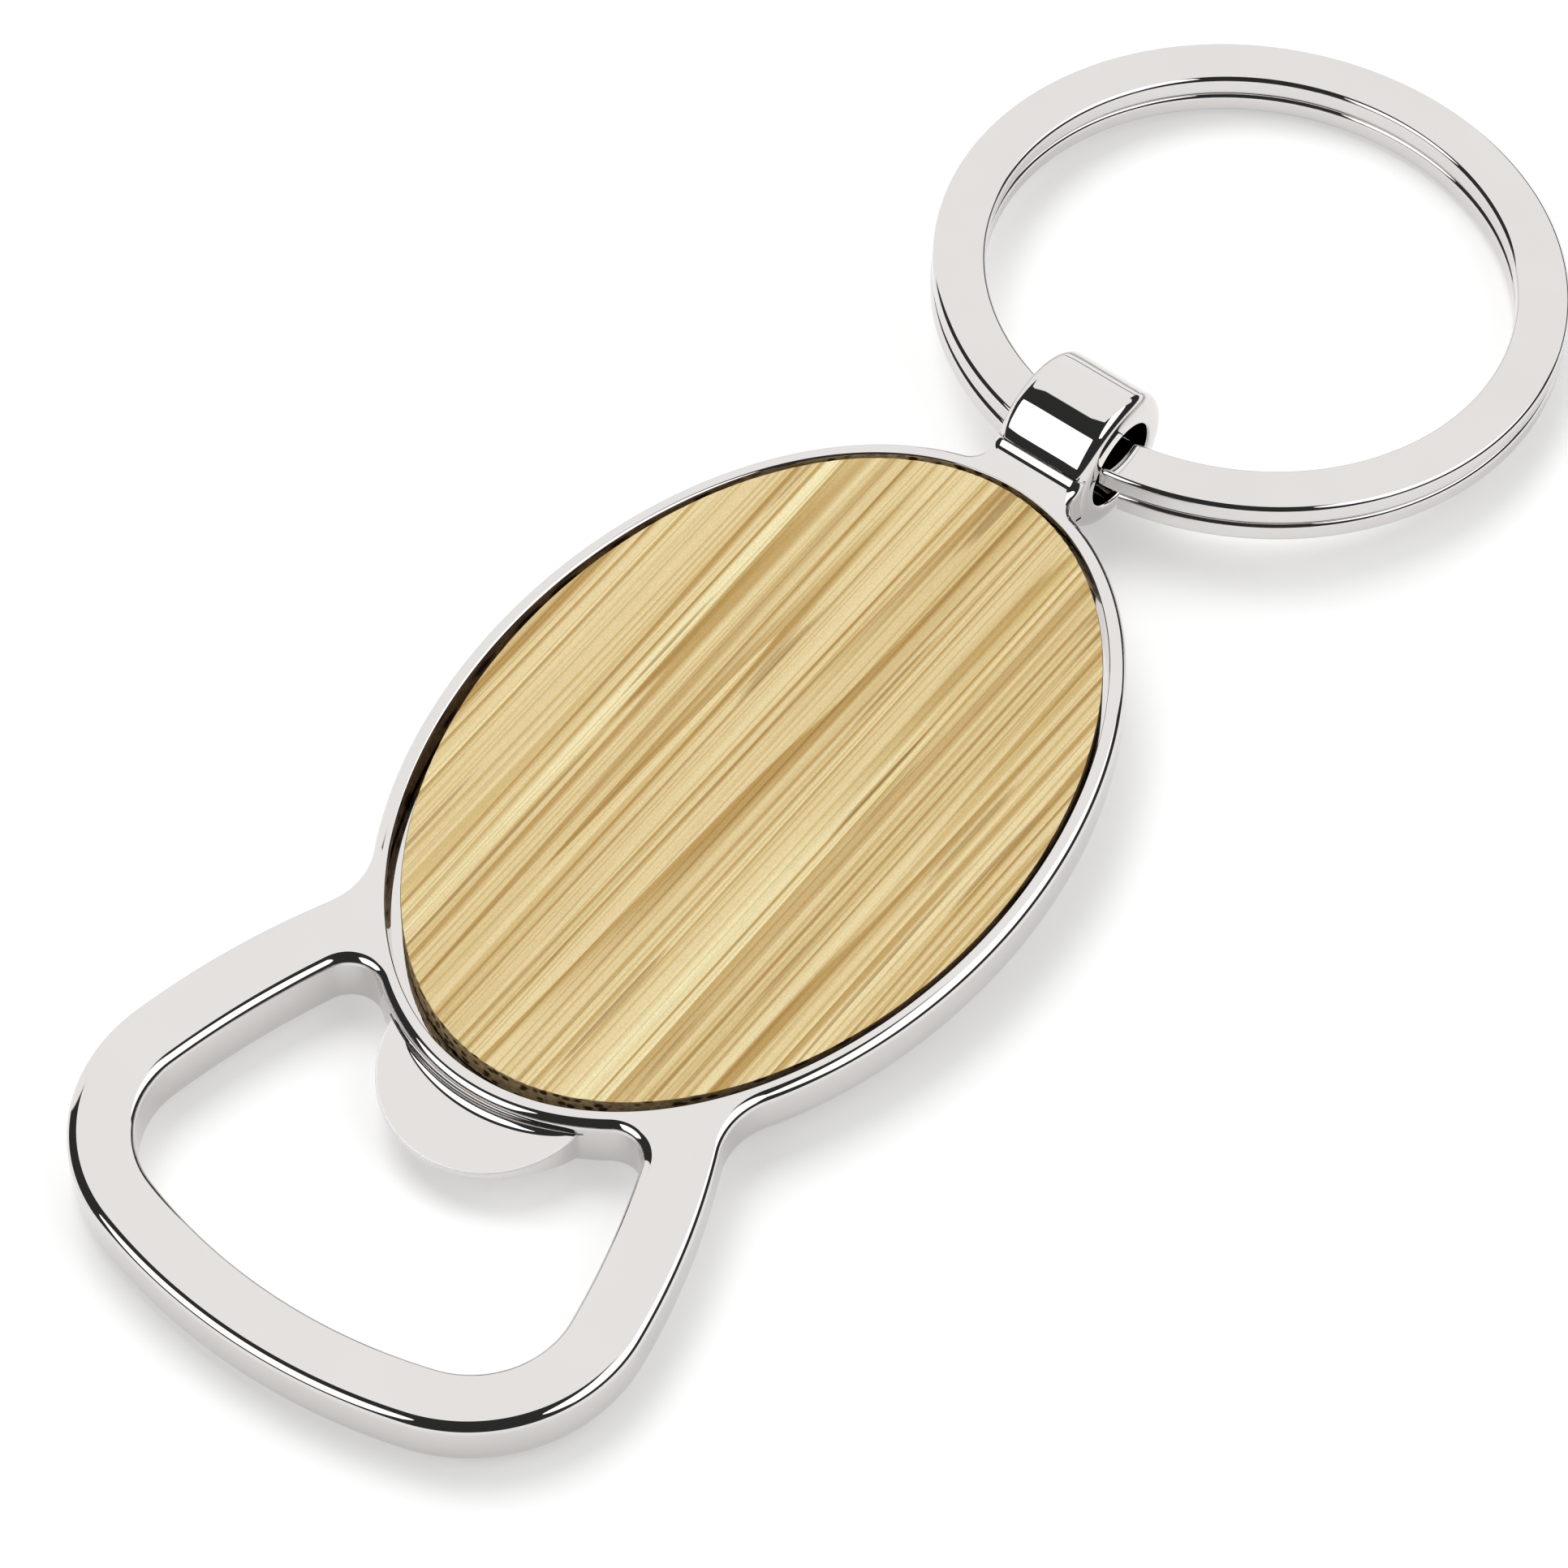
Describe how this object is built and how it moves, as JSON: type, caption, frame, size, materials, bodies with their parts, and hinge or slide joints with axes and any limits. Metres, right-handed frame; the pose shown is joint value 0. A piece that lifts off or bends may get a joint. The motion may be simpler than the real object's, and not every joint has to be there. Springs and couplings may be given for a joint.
{
  "type": "keychain bottle opener",
  "caption": "Plated cast bottle opener with an oval bamboo inlay, an open loop with a prying lip, and an eyelet carrying a split key ring.",
  "frame": {"origin": "centre of the oval on the flat back face of the cast body", "axes": "+Z out of the bamboo face, +Y along the body towards the split ring, X across"},
  "size_m": [0.03, 0.0898, 0.0078],
  "materials": {
    "body_plating": "mirror-bright nickel-chrome plating on a zinc casting",
    "adhesive": "thin double-sided adhesive film",
    "bamboo": "pale sanded laminated bamboo, grain along Y, dark fibre ends on the cut edge",
    "ring_plating": "nickel-plated flat spring-steel wire"
  },
  "bodies": {
    "opener": {"opener_body": "body_plating", "adhesive_film": "adhesive", "bamboo_inlay": "bamboo"},
    "ring": {"split_ring": "ring_plating"}
  },
  "joints": [
    {"name": "ring_swing", "type": "hinge", "parent": "opener", "child": "ring", "pos_m": [0, 0.02485, 0.0018], "axis": [1, 0, 0], "range_deg": [-158, 172]}
  ]
}
